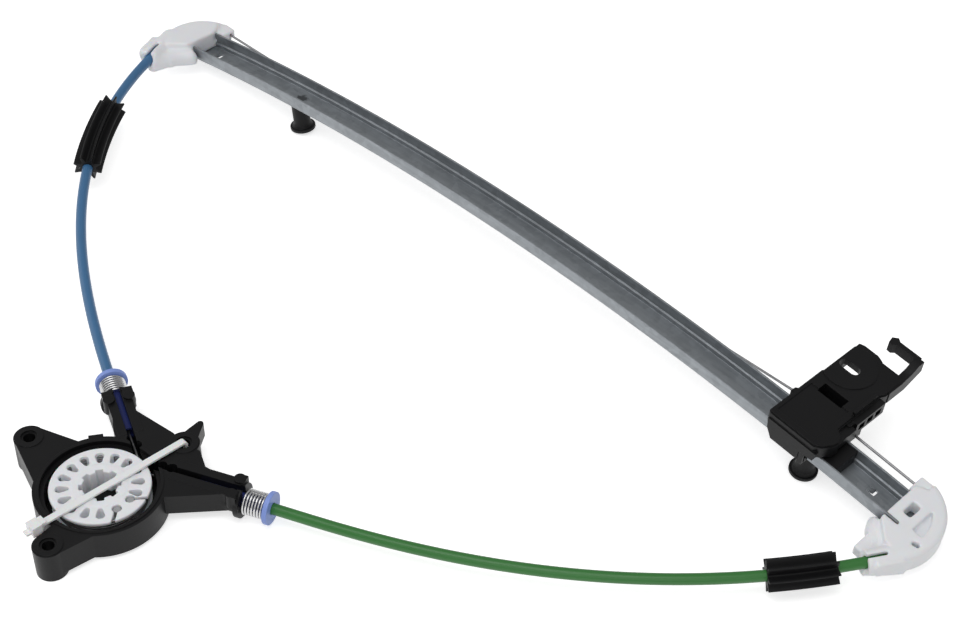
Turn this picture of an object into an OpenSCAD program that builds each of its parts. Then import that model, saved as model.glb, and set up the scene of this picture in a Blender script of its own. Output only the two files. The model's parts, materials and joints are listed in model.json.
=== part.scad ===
// Cable window regulator: a curved guide rail with a glass carrier, a cable drum in its housing and
// two conduits. The origin is on the axis of the housing's first screw hole, at the housing's back
// plane. +X runs along the rail to its lower end, +Y from the drum to the rail, and +Z is the side of
// the motor. The modules draw about the drum's axis.

/* [Guide rail] */
// Radius of the curved rail, to the underside of its web
rail_radius = 1653; // [1400:1:2200]
// Distance from the drum axis to the middle of the rail
rail_offset = 276.7; // [250:0.1:340]
// Place of the rail's crown along the rail, from the drum axis
crown_x = 30.6; // [10:0.1:50]
// Distance from the crown to the upper end of the rail
rail_up = 302.6; // [255:0.1:365]
// Distance from the crown to the lower end of the rail
rail_low = 263.4; // [245:0.1:320]
// Outer width of the rail at its web
rail_web_w = 18; // [15:0.1:22]
// Outward step of each flange
rail_step = 1.2; // [0.8:0.1:1.6]
// Height of the step above the underside of the web
rail_ledge = 4; // [3:0.1:6]
// Height of the flanges
rail_depth = 10; // [8.5:0.1:12]
// Thickness of the rail's sheet
rail_gauge = 1.2; // [1:0.1:1.6]
// Distance between the two studs
stud_span = 398; // [340:1:440]
// Width of a lanced tab in the web
tab_w = 4; // [3:0.5:6]

/* [Studs and grommets] */
// Radius of a stud
stud_r = 3; // [2.5:0.1:3.5]
// Radius of a grommet's sleeve
sleeve_r = 5.2; // [4.6:0.1:5.8]
// Radius of a grommet's flange
flange_r = 7.75; // [7:0.05:9]
// Thickness of a grommet's flange
flange_t = 2.2; // [1.6:0.1:3]
// Distance from the rail's underside to the end of a grommet
grommet_len = 20.35; // [16:0.05:24]

/* [Cable] */
// Radius of the steel cable
cable_r = 0.75; // [0.6:0.05:0.9]
// Gap from the rail's far flange to the middle of the cable
cable_gap = 8.1; // [7:0.1:10]
// Height of the cable beside the rail, above the web's underside
cable_h = 6; // [5:0.1:7]

/* [Carrier] */
// Distance of the carrier's middle from the crown, along the rail
carrier_s = 199.4; // [150:0.1:215]
// Length of the carrier's plate along the rail
plate_len = 33; // [29:0.5:38]
// Width of the carrier's plate across the rail
plate_w = 71; // [66:0.5:80]
// Thickness of the carrier's plate
plate_t = 8.3; // [7:0.1:10]
// Height of the plate's top above the web's underside
plate_top = 19.8; // [18.5:0.1:24]
// Gap between the carrier and the rail
carrier_gap = 0.35; // [0.3:0.05:0.5]
// Radius of the ends of the glass bolt's slot
slot_r = 3.1; // [2.6:0.1:4]
// Length of the glass bolt's slot, end to end
slot_len = 12.6; // [9:0.1:16]

/* [Drum] */
// Radius of the drum's top flange
drum_r = 26; // [25.2:0.1:28]
// Radius at which the cable winds
wind_r = 23; // [21:0.1:23.5]
// Height of the drum's top above the back plane
drum_top = 18; // [17.6:0.1:20]
// Radius of the drive opening between its lobes
drive_r = 9; // [7.5:0.1:9.5]
// Radius of the drum's lower journal
journal_r = 12; // [11.4:0.1:12.6]
// Running clearance of the journal in its seat
journal_gap = 0.06; // [0.03:0.01:0.1]
// Distance between two turns of cable
turn_pitch = 1.65; // [1.6:0.05:1.8]
// Number of pockets round the drum's face
pocket_count = 16; // [12:1:18]

/* [Drum housing] */
// Height of the housing's top face
deck_top = 18; // [17:0.1:20]
// Outer radius of the ring round the drum
ring_r = 34; // [32.5:0.1:36]
// Radius of the cavity that the drum turns in
cavity_r = 28.3; // [27.6:0.1:29.5]
// Thickness of the floor under the drum
floor_t = 2; // [1.6:0.1:2.4]
// Outer radius of a screw boss
boss_r = 8.2; // [7:0.1:9]
// Radius of a screw hole
hole_r = 3.2; // [2.7:0.1:4]
// Width of the open cable channels
channel_w = 3.6; // [3:0.1:4.5]
// Height of the cable sockets' axes above the back plane
socket_z = 10; // [9:0.1:11]
// Direction of the upper socket
upper_dir = 156.2; // [152:0.1:160]
// Direction of the lower socket
lower_dir = 25.2; // [21:0.1:29]
// Distance from the drum to the end of the upper socket
upper_reach = 64; // [58:0.5:76]
// Distance from the drum to the end of the lower socket
lower_reach = 69; // [60:0.5:80]

/* [Ferrules and springs] */
// Radius of a ferrule's disc
disc_r = 8.8; // [8:0.1:9.6]
// Thickness of a ferrule's disc
disc_t = 2.6; // [2:0.1:3.2]
// Radius of a ferrule's stem
stem_r = 4.1; // [3.8:0.1:4.8]
// Length of the spring at rest
spring_len = 13; // [11:0.5:16]
// Middle radius of the spring's coil
spring_r = 6.55; // [6.2:0.05:7]
// Radius of the spring's wire
spring_wire = 0.6; // [0.5:0.05:0.7]
// Number of turns of the spring
spring_turns = 7; // [5.5:0.5:7.5]

/* [Conduits] */
// Outer radius of a conduit
conduit_r = 3; // [2.5:0.1:3.6]
// Inner radius of a conduit
conduit_in = 1.75; // [1.7:0.05:1.9]
// Length of the conduit's straight end inside a socket
seat_len = 12; // [9:0.5:14]
// Length of the upper pad
upper_pad_len = 59; // [40:1:70]
// Length of the lower pad
lower_pad_len = 35; // [28:1:44]
// Radius of a pad's fins
pad_r = 8.6; // [7.5:0.1:9.5]

/* [Deflectors] */
// Radius of the cable's turn in the upper deflector
upper_turn = 22; // [20:0.5:24]
// Radius of the cable's turn in the lower deflector
lower_turn = 24; // [22:0.5:26]
// Width of the upper deflector's rim outside the cable
upper_rim = 3.5; // [3:0.1:4.5]
// Width of the lower deflector's rim outside the cable
lower_rim = 5; // [4:0.1:6]
// Outer radius of a conduit socket
mouth_r = 6.3; // [5.6:0.1:7]

/* [Transport tie] */
// Width of the tie's strap
strap_w = 3.8; // [3:0.1:4.2]
// Thickness of the tie's strap
strap_t = 1.2; // [1:0.1:1.3]

/* [Hidden] */

$fn = 64;
eps = 0.01;
arc_fn = 900;
upper = 1;
lower = -1;

// Rail: angles are measured from the crown, positive towards the lower end
rail_half = rail_web_w/2 + rail_step;
stud_drop = rail_radius - grommet_len;
stud_ang = asin(stud_span/2/stud_drop);
crown_z = rail_radius - stud_drop*cos(stud_ang) + flange_r*sin(stud_ang);
up_ang = -asin(rail_up/rail_radius);
low_ang = asin(rail_low/rail_radius);
carrier_ang = asin(carrier_s/rail_radius);
cable_y = rail_offset + rail_half + cable_gap;
cable_rad = rail_radius + cable_h;

// Cable ends: where the cable leaves each deflector, and the nipples in the carrier
upper_inset = 10;
lower_inset = 7;
exit_up = -asin((rail_up - upper_inset)/cable_rad);
exit_low = asin((rail_low - lower_inset)/cable_rad);
nipple_off = 10;
nipple_half = 2.2;
nip_up = carrier_ang - asin(nipple_off/rail_radius);
nip_low = carrier_ang + asin(nipple_off/rail_radius);

function on_arc(a, rad, y) = [crown_x + rad*sin(a), y, crown_z - rail_radius + rad*cos(a)];
function unit(v) = v/norm(v);

exit_u = on_arc(exit_up, cable_rad, cable_y);
exit_l = on_arc(exit_low, cable_rad, cable_y);
strand_u = on_arc(nip_up - asin((nipple_half + 0.1)/rail_radius), cable_rad, cable_y);
strand_l = on_arc(nip_low + asin((nipple_half + 0.1)/rail_radius), cable_rad, cable_y);

// Deflector frames: x along the cable that leaves it, y away from the drum, mirrored for the lower
function turn_r(side) = side == upper ? upper_turn : lower_turn;
function heading(side) = side == upper ? 113.3 : 120.7;
function mouth_len(side) = side == upper ? 26 : 20;
function cross_tilt(side) = side == upper ? -3.5 : 5.6;
function exit_pt(side) = side == upper ? exit_u : exit_l;
function chord_tilt(side) = side == upper ? (exit_up + nip_up)/2 : (exit_low + nip_low)/2;
function turn_x(v, a) = [v.x, v.y*cos(a) - v.z*sin(a), v.y*sin(a) + v.z*cos(a)];
function turn_y(v, a) = [v.x*cos(a) + v.z*sin(a), v.y, v.z*cos(a) - v.x*sin(a)];
function seat_dir(side, v) = turn_y(turn_x([side*v.x, v.y, v.z], cross_tilt(side)), chord_tilt(side));
function heading_dir(side) = [cos(heading(side)), sin(heading(side)), 0];
function tangent_pt(side) = [-turn_r(side)*sin(heading(side)), turn_r(side)*(cos(heading(side)) - 1), 0];
function mouth_pt(side) = tangent_pt(side) - mouth_len(side)*heading_dir(side);

// Housing sockets: the cable leaves the drum along the line of each socket
function dir_of(side) = side == upper ? upper_dir : lower_dir;
function reach(side) = side == upper ? upper_reach : lower_reach;
function along(side) = [cos(dir_of(side)), sin(dir_of(side)), 0];
function outward(side) = [side*sin(dir_of(side)), -side*cos(dir_of(side)), 0];
function socket_pt(side, t, z) = wind_r*outward(side) + t*along(side) + [0, 0, z];
disc_face = spring_len + disc_t;
stem_len = 26;
ferrule_travel = 3;

// Drum levels: turns are counted from the lowest groove
first_turn = 8.25;
turn_total = 5;
function turn_z(i) = first_turn + i*turn_pitch;
function leave_z(side) = side == upper ? turn_z(turn_total - 1) : turn_z(0);
clear_t = sqrt(pow(wind_r + 2*cable_r + 0.15, 2) - wind_r*wind_r);

// Conduit routes: a smooth curve from the ferrule to the deflector's socket
steps = 26;
function pull(side) = side == upper ? [297.5, 326.4] : [126.9, 433.3];
function route_start(side) = socket_pt(side, reach(side) + disc_face, socket_z);
function route_end(side) = exit_pt(side) + seat_dir(side, mouth_pt(side));
function end_dir(side) = seat_dir(side, heading_dir(side));
route_scale = [for (side = [upper, lower]) norm(route_end(side) - route_start(side))
    /(side == upper ? 280 : 295.5)];
function scale_of(side) = side == upper ? route_scale[0] : route_scale[1];
function route_pt(side, s) = (2*s*s*s - 3*s*s + 1)*route_start(side)
    + (s*s*s - 2*s*s + s)*pull(side)[0]*scale_of(side)*along(side)
    + (3*s*s - 2*s*s*s)*route_end(side)
    + (s*s*s - s*s)*pull(side)[1]*scale_of(side)*end_dir(side);
function route(side, head, tail) = concat(
    [route_start(side) - head*along(side)],
    [for (i = [0:steps]) route_pt(side, i/steps)],
    [route_end(side) + tail*end_dir(side)]);
function ring_pts(r, n) = [for (i = [0:n - 1]) r*[cos(360*i/n), sin(360*i/n)]];
fins = 8;
pad_root = conduit_r + 1.4;
star = [for (i = [0:4*fins - 1]) let (k = i%4,
    r = k == 0 ? pad_r : (k == 2 ? pad_root : (pad_r + pad_root)/2 - 0.3))
    r*[cos(90*i/fins + 180/fins), sin(90*i/fins + 180/fins)]];
// Length along a conduit's route, as pairs of length and place
function lengths(side) = let (n = 40, p = [for (i = [0:n]) route_pt(side, i/n)])
    [for (i = 0, l = 0; i <= n; l = l + (i < n ? norm(p[i + 1] - p[i]) : 0), i = i + 1) [l, i/n]];
route_table = [lengths(upper), lengths(lower)];
function place_at(side, l) = lookup(l, route_table[side == upper ? 0 : 1]);

// A bar between two points
module bar(p, q, r) {
    v = q - p;
    translate(p) rotate([0, acos(v.z/norm(v)), atan2(v.y, v.x)]) cylinder(h = norm(v), r = r);
}

// A profile carried along a path. The profile's x is to the right of the path and its y is up.
module swept(path, prof) {
    n = len(path);
    k = len(prof);
    pts = [for (i = [0:n - 1])
        let (t = unit(path[min(i + 1, n - 1)] - path[max(i - 1, 0)]),
            s = unit(cross(t, [0, 0, 1])), u = cross(s, t))
        for (p = prof) path[i] + p.x*s + p.y*u];
    sides = [for (i = [0:n - 2]) for (j = [0:k - 1]) for (f = [0, 1])
        let (a = i*k + j, b = i*k + (j + 1)%k)
        f == 0 ? [a, b, b + k] : [a, b + k, a + k]];
    polyhedron(pts, concat([[for (j = [k - 1:-1:0]) j]], sides, [[for (j = [0:k - 1]) (n - 1)*k + j]]));
}

// A hollow profile carried along a path. The outer outline has twice as many points as the inner one.
module sleeve(path, outer, inner) {
    n = len(path);
    k = len(outer);
    m = len(inner);
    q = k + m;
    prof = concat(outer, inner);
    pts = [for (i = [0:n - 1])
        let (t = unit(path[min(i + 1, n - 1)] - path[max(i - 1, 0)]),
            s = unit(cross(t, [0, 0, 1])), u = cross(s, t))
        for (p = prof) path[i] + p.x*s + p.y*u];
    outside = [for (i = [0:n - 2]) for (j = [0:k - 1]) for (f = [0, 1])
        let (a = i*q + j, b = i*q + (j + 1)%k)
        f == 0 ? [a, b, b + q] : [a, b + q, a + q]];
    inside = [for (i = [0:n - 2]) for (j = [0:m - 1]) for (f = [0, 1])
        let (a = i*q + k + j, b = i*q + k + (j + 1)%m)
        f == 0 ? [a, b + q, b] : [a, a + q, b + q]];
    ends = [for (e = [0, n - 1]) for (j = [0:m - 1]) for (f = [0:2])
        let (a = e*q + 2*j, b = a + 1, c = e*q + (2*j + 2)%k, g = e*q + k + j, h = e*q + k + (j + 1)%m,
            face = f == 0 ? [b, a, g] : (f == 1 ? [c, b, h] : [b, g, h]))
        e == 0 ? face : [face[1], face[0], face[2]]];
    polyhedron(pts, concat(outside, inside, ends));
}

module tube_along(side, outer, inner, head, tail) {
    difference() {
        swept(route(side, head, tail), outer);
        swept(route(side, head + 1, tail + 1), inner);
    }
}

// Sweeps a profile round the rail's arc. In the profile x is the radius and y runs across the rail.
module arc_sweep(a0, a1) {
    translate([crown_x, rail_offset, crown_z - rail_radius]) rotate([90, 0, 0]) rotate([0, 0, 90 - a1])
        rotate_extrude(angle = a1 - a0, $fn = arc_fn) children();
}

// Places a piece on the rail: x along it, y across it, z away from the web's underside
module on_rail(a) {
    translate(on_arc(a, rail_radius, rail_offset)) rotate([0, a, 0]) children();
}

// Half of the rail's section, grown by g
module half_section(g) {
    translate([rail_radius - g, 0]) square([rail_gauge + 2*g, rail_web_w/2]);
    translate([rail_radius - g, rail_web_w/2 - rail_gauge - g])
        square([rail_ledge + 2*g, rail_gauge + 2*g]);
    translate([rail_radius + rail_ledge - rail_gauge - g, rail_web_w/2 - rail_gauge - g])
        square([rail_gauge + 2*g, rail_step + rail_gauge + 2*g]);
    translate([rail_radius + rail_ledge - rail_gauge - g, rail_half - rail_gauge - g])
        square([rail_depth - rail_ledge + rail_gauge + 2*g, rail_gauge + 2*g]);
}

module rail_section(g) {
    half_section(g);
    mirror([0, 1]) half_section(g);
}

tab_len = 5.5;
tab_angles = [up_ang + asin(21.5/rail_radius), low_ang - asin(23.3/rail_radius)];

module guide_rail() {
    color("silver") {
        difference() {
            arc_sweep(up_ang, low_ang) rail_section(0);
            for (a = tab_angles) on_rail(a) translate([-tab_len/2, 1.5 - tab_w/2, -1])
                cube([tab_len, tab_w, 4]);
        }
        // Lanced tongues, which stop the carrier at both ends
        for (a = tab_angles) on_rail(a) translate([-tab_len/2 - eps, 1.5 - tab_w/2 + 0.6, 0.05])
            rotate([0, -22, 0]) cube([tab_len - 1, tab_w - 1.2, rail_gauge - 0.1]);
    }
}

module stud(side) {
    a = -side*stud_ang;
    color("gainsboro") on_rail(a) mirror([0, 0, 1]) {
        cylinder(h = 1.4, r = 5);
        cylinder(h = grommet_len - 3, r = stud_r);
    }
}

module grommet(side) {
    a = -side*stud_ang;
    color("dimgray") on_rail(a) mirror([0, 0, 1]) difference() {
        union() {
            translate([0, 0, 1.7]) cylinder(h = grommet_len - 1.7, r = sleeve_r);
            translate([0, 0, 1.7]) cylinder(h = 2, r1 = sleeve_r + 0.5, r2 = sleeve_r);
            translate([0, 0, grommet_len - flange_t]) cylinder(h = flange_t, r = flange_r);
            translate([0, 0, grommet_len - flange_t - 2.2])
                cylinder(h = 2.2, r1 = sleeve_r, r2 = sleeve_r + 1.2);
        }
        translate([0, 0, 1]) cylinder(h = grommet_len - 3.8, r = stud_r + 0.05);
        translate([0, 0, grommet_len - 1.6]) cylinder(h = 2, r = 2.2);
    }
}

// Deflector
module at_exit(side) {
    translate(exit_pt(side)) rotate([0, chord_tilt(side), 0]) rotate([cross_tilt(side), 0, 0])
        mirror([side == upper ? 0 : 1, 0, 0]) children();
}

module along_heading(side) {
    translate(tangent_pt(side)) rotate([0, 0, heading(side) + 180]) rotate([0, 90, 0]) children();
}

module deflector(side) {
    up = side == upper;
    r = turn_r(side);
    rim = up ? upper_rim : lower_rim;
    foot = up ? -7 : -8;
    top = up ? 6.2 : 6;
    step_z = up ? 3 : 4.8;
    slope = up ? 4.3 : 1;
    near_y = -cable_gap - 2*rail_half - 2.8;
    len = mouth_len(side);
    m = mouth_pt(side);
    h = heading_dir(side);
    n = [h.y, -h.x, 0];
    function by(along_m, out) = [for (i = [0, 1]) m[i] + along_m*h[i] + out*n[i]];
    hump_near = up ? near_y - 1.2 : near_y + 0.6;
    // Edge of the hump, from its front to the conduit's socket
    hump = [[up ? -7 : -6.5, 20], [up ? -7 : -6.5, -1], [0.02, up ? -12 : -4], [0.02, hump_near],
        by(11.5, up ? 5 : 7), by(up ? 17.5 : 14.5, 1), by(up ? 17.6 : 19, -6),
        by(up ? 21 : 19.5, -8), [-r - rim - 5, -r - 6], [-r - rim - 5, 20]];
    // Lower outline: the lobe beside the rail and the root of the socket
    lobe = up ? [[-1, 2.9], [3, 2.9], [6.2, 1.4], [6.8, -1.6], [1.4, -9], [-1.6, -15], [-3, -21.6],
        [-3.4, -26], [-6.6, -27.4]]
        : [[-1, 2.9], [3.6, 2.9], [5.4, 0.8], [5.2, -1.6], [3.2, -5.4], [-3.2, -8.8], [-5.8, -11.4],
            [-6, -16.4], [-6.2, -20.4], [-7.4, -23]];
    foot_line = concat([for (q = lobe) [q[0], near_y + q[1]]],
        [by(-1.5, -3), by(10, up ? -6 : -5.4), by(19, -6.4),
        [-r, -r - 4], [-r + 6, -r + 10]]);
    color("whitesmoke") difference() {
        at_exit(side) difference() {
            union() {
                // Disc over the cable's turn, with a sloped edge
                intersection() {
                    translate([0, -r, foot]) rotate_extrude($fn = 96) polygon([[0, 0], [r + rim - 1, 0],
                        [r + rim, 1], [r + rim, step_z - foot], [r + rim - slope, top - foot - 0.5],
                        [r + rim - slope - 1, top - foot], [0, top - foot]]);
                    translate([0, 0, foot - 1]) linear_extrude(30) polygon(hump);
                }
                translate([0, -r, foot + 0.02]) intersection() {
                    cylinder(h = -foot - 1, r = r + rim - 0.4, $fn = 96);
                    translate([-r - rim - 1, -r - 2, -1]) cube([r + rim + 1, 80, 20]);
                }
                translate([0, 0, foot]) linear_extrude(-foot - 1) polygon(foot_line);
                translate([0, 0, -1.02]) linear_extrude(1.6) offset(delta = -0.8) polygon(foot_line);
                translate([0, 0, 0.56]) linear_extrude(1.5) offset(delta = -2) polygon(foot_line);
                // Lug at the cable's exit
                translate([-7, -cable_gap + 1.2, -3.2])
                    cube([up ? 10 : 8.6, cable_gap + 2.3, up ? 6.4 : 8]);
                // Socket for the conduit
                along_heading(side) translate([0, 0, -2]) cylinder(h = len + 2, r = mouth_r);
                along_heading(side) translate([0, 0, len - 6])
                    cylinder(h = up ? 8 : 6, r = mouth_r - 0.4);
                // Cheek along the outside of the socket
                along_heading(side) rotate([90, 0, 0]) translate([0, 0, up ? 4.6 : 1.4])
                    linear_extrude(up ? 2.6 : 5.2) polygon([[5.2, len - (up ? 18 : 14)],
                        [5.2, len - (up ? 0 : 4)],
                        [-3, len + (up ? 3 : -2.5)], [up ? -6.2 : -5.6, len + (up ? 1.2 : -4)],
                        [up ? -6.2 : -5.6, len - (up ? 15 : 17)], [-3, len - (up ? 19 : 21)]]);
            }
            // Groove for the cable's turn, open towards the foot
            translate([0, -r, 0]) rotate([0, 0, 88]) rotate_extrude(angle = heading(side) + 4)
                translate([r - 1, foot - 1]) square([2, 2 - foot]);
            translate([-9, -1, foot - 1]) cube([15, 2, 2 - foot]);
            along_heading(side) translate([0, 0, -2]) cylinder(h = len, r = 1.2);
            along_heading(side) translate([0, 0, len - seat_len - 0.5])
                cylinder(h = seat_len + 6, r = conduit_r + 0.08);
            along_heading(side) translate([-mouth_r - 3, -0.9, len - 11]) cube([mouth_r + 3, 1.8, 20]);
            if (!up) {
                // Window, crescent and the dark slot in the hump
                translate([-10.4, -r + 3.5, foot - 1]) cube([4.9, 8.5, 30]);
                translate([0, -r, 0]) intersection() {
                    translate([0, 0, 2]) cylinder(h = 8, r = r - 2.5);
                    translate([-r - 1, -1, 0]) cube([r - 14.4, 16, 20]);
                }
                translate([-24.5, -r - 7.2, 0.5]) rotate([0, 0, -14]) cube([4.2, 2.5, 10]);
            }
        }
        arc_sweep(up ? up_ang - 0.02 : exit_low - 1, up ? exit_up + 1 : low_ang + 0.02)
            rail_section(0.12);
    }
}

// Carrier: x along the rail, y away from the drum, z away from the rail's web
side_x = 13.5;
left_x = side_x - plate_len;
front_y = -14;
far_y = plate_w + front_y;
under = plate_top - plate_t;
seat_x = left_x + 8.6;
seat_y = far_y - 16.5;

module carrier_outline() {
    polygon([[left_x + 1.4, front_y], [left_x, front_y + 1.6], [left_x, 4.5], [left_x - 1.4, 5.4],
        [left_x - 1.4, 8.6],
        [left_x, 9.6], [left_x, 28.7], [left_x + 0.9, 29.4], [left_x + 0.9, far_y - 2],
            [left_x + 2.9, far_y],
        [side_x, far_y], [side_x, seat_y], [side_x - 1.4, seat_y - 3], [side_x - 1.4, 4],
            [side_x + 1.6, 2.4],
        [side_x + 4.6, -2], [side_x + 4.2, -6], [side_x + 0.6, front_y + 2.4], [side_x - 3, front_y]]);
}

module slider_body() {
    side_y = cable_gap + rail_half;
    top_t = 3.4;
    color("darkslategray") on_rail(carrier_ang) difference() {
        union() {
            // Plate with its skirt
            difference() {
                translate([0, 0, under]) linear_extrude(plate_t - 1) carrier_outline();
                translate([0, 0, under - 1]) linear_extrude(plate_t - top_t + 1)
                    offset(delta = -2.3) carrier_outline();
            }
            translate([0, 0, plate_top - 1 - eps]) linear_extrude(1) offset(delta = -0.7) carrier_outline();
            // Near wall, which tapers down outside the near flange
            translate([0, front_y + 2.7, 0]) rotate([90, 0, 0]) linear_extrude(3.4)
                polygon([[left_x + 1.6, under + 4],
                [left_x + 2.2, 9], [left_x + 5.8, 3], [3.9, 3], [3.9, 9], [side_x - 1, 10],
                    [side_x, under + 4]]);
            // Neck that carries the shoe
            translate([-12, -5, 9.6]) cube([25, 10, plate_top - top_t - 8]);
            // Far block that holds the cable's nipples
            translate([-16, rail_half + carrier_gap + 0.5, 0.6]) cube([30, 14, plate_top - 2.6]);
            // Round seat of the glass bolt
            intersection() {
                union() {
                    translate([seat_x, seat_y, plate_top - 3.6]) cylinder(h = 4.1, r = 15);
                    translate([seat_x, seat_y, plate_top - 3.7]) cylinder(h = 3.4, r = 18.6);
                }
                translate([left_x + 1.2, far_y - 34, 0]) cube([plate_len - 1.6, 35.6, 40]);
            }
            // Upstanding lip, the ribbed side and the lug at its end
            translate([side_x - 3.3, 17, plate_top - 2]) cube([1.6, 18, 4.2]);
            translate([side_x - 3, 15, 10]) cube([5.4, 23, 8]);
            translate([side_x - 4, -3.6, under + 0.3]) cube([7.6, 17, 5]);
            // Arm and hook for the edge of the glass
            translate([side_x + 0.5, 0, 0]) rotate([90, 0, -90]) linear_extrude(4.8)
                polygon([[-(far_y - 14), under + 0.6],
                [-far_y, under + 0.6], [-far_y - 5, 14], [-far_y - 13, 17.2], [-far_y - 13, 24.4],
                    [-far_y - 8.5, 24.4],
                [-far_y - 4, 21.5], [-far_y + 4, plate_top - 0.3], [-(far_y - 14), plate_top - 0.3]]);
            translate([0, 0, 17.5]) linear_extrude(6.6) polygon([[side_x - 4.2, far_y + 8.5],
                [side_x + 0.4, far_y + 8.5],
                [side_x - 2.2, far_y + 14.3], [-3, far_y + 14.3], [-5.2, far_y + 15.9],
                    [-8, far_y + 13.6],
                [-7.2, far_y + 10], [-4.6, far_y + 9.8], [-3, far_y + 11.6],
                    [side_x - 5.6, far_y + 11.6]]);
        }
        // Slot of the glass bolt
        translate([seat_x, seat_y, -5]) for (s = [-1, 1])
            translate([s*(slot_len/2 - slot_r), 0, 0]) cylinder(h = 60, r = slot_r);
        translate([seat_x - slot_len/2 + slot_r, seat_y - slot_r + eps, -5])
            cube([slot_len - 2*slot_r, 2*slot_r - 2*eps, 60]);
        // Dark pocket, and the shallow field before it
        translate([left_x + 7.5, 15.9, plate_top - 9.6]) cube([15.6, 6.5, 20]);
        translate([left_x + 2.6, front_y + 4, plate_top - 0.5]) cube([plate_len - 8, 27, 2]);
        // Windows in the side
        for (i = [0:2]) translate([side_x - 1.6, 17.4 + i*6.6, 11.8]) cube([9, 4.6, 4.4]);
        // Cable and nipple ways
        translate([-20, side_y - 1.1, cable_h - 2]) cube([40, 2.2, 3.1]);
        for (s = [-1, 1]) translate([s*nipple_off - 3, side_y - 2.6, cable_h - 2.6])
            cube([6, 5.2, 5.2]);
        translate([-20, side_y - 1, cable_h - 0.5]) cube([40, 20, 1]);
    }
}

module guide_shoe() {
    low_half = rail_web_w/2 - rail_gauge - carrier_gap;
    top_half = rail_half - rail_gauge - carrier_gap;
    bed = rail_gauge + carrier_gap + 0.2;
    step_z = rail_ledge + carrier_gap;
    color("black") on_rail(carrier_ang) {
        translate([-15, -low_half, bed]) cube([39, 2*low_half, step_z - bed + 0.5]);
        translate([-15, -top_half, step_z + 0.3]) cube([39, 2*top_half, 9.5 - step_z - 0.3]);
    }
}

module retaining_clip() {
    inner = -rail_half - carrier_gap - 0.25;
    color("slategray") on_rail(carrier_ang) translate([4.1, 0, 0]) {
        translate([0, front_y - 0.5, 1.2]) cube([3, 1.4, under - 3.6]);
        translate([0, front_y - 0.5, 1.2]) cube([3, -rail_web_w/2 - carrier_gap - front_y + 0.5, 1.2]);
        translate([-0.15, inner - 1.5, 1.5]) cube([3.3, 1.2, 3.4]);
    }
}

module slider_nipples() {
    color("lightgray") for (a = [nip_up, nip_low]) on_rail(a)
        translate([0, cable_gap + rail_half, cable_h]) rotate([0, 90, 0])
            cylinder(h = 2*nipple_half, r = 2.2, center = true);
}

// Drum housing
boss_1 = [-52.3, -6.2];
boss_2 = [14.5, -42.1];
boss_3 = [6.3, 48.7];

module at_socket(side) {
    translate(wind_r*outward(side)) rotate([0, 0, dir_of(side)]) children();
}

module arm(p, a0, a1) {
    hull() {
        translate(p) circle(boss_r - 0.3, $fn = 32);
        polygon([[0, 0], (ring_r - 1)*[cos(a0), sin(a0)], (ring_r - 1)*[cos(a1), sin(a1)]]);
    }
}

module deck_outline() {
    u = along(upper);
    un = outward(upper);
    l = along(lower);
    ln = outward(lower);
    function pu(t, d) = [for (i = [0, 1]) (wind_r + d)*un[i] + t*u[i]];
    function pl(t, d) = [for (i = [0, 1]) (wind_r + d)*ln[i] + t*l[i]];
    polygon([pu(26, -8), pu(35, -8), pu(44, -6.5), pu(46, 6), boss_3 + [-9.5, 0.5], boss_3,
        boss_3 + [10, 2.5], pl(44, 7.5), pl(52, 5.5), pl(60, 5), pl(62, -5.6), pl(46, -13), pl(32, -19.6),
        [0, 0], (ring_r - 1)*[cos(134), sin(134)]]);
}

// The third boss stands clear of the strap that runs back below it
function boss_foot(b) = b == boss_3 ? 1.9 : 0;

module boss_post(b) {
    translate([b.x, b.y, boss_foot(b)]) cylinder(h = deck_top + 0.02 - boss_foot(b), r = boss_r);
    translate([b.x, b.y, boss_foot(b) + 1]) cylinder(h = deck_top - 0.5 - boss_foot(b), r = boss_r - 0.8);
}

// Outer wall of a conduit socket: two cheeks with a collar at the end
module socket_wall(side) {
    t = reach(side);
    at_socket(side) {
        translate([30, 0, socket_z]) rotate([0, 90, 0]) cylinder(h = t - 30, r = 7.2);
        translate([30, -6.6, socket_z]) cube([t - 31, 13.2, deck_top - socket_z + 0.2]);
        translate([t - 2.6, 0, socket_z]) rotate([0, 90, 0]) cylinder(h = 2.6, r = 9.4);
        // Lugs beside the slot, at the collar
        for (s = [-1, 1]) translate([t - (side == upper ? 7.5 : 4.6), s*5.4, socket_z + 1]) {
            cylinder(h = deck_top - socket_z + 0.6, r = 3.1);
            translate([0, -2.8, 0.02]) cube([side == upper ? 6.2 : 3.5, 5.6, deck_top - socket_z + 0.5]);
        }
    }
}

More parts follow.
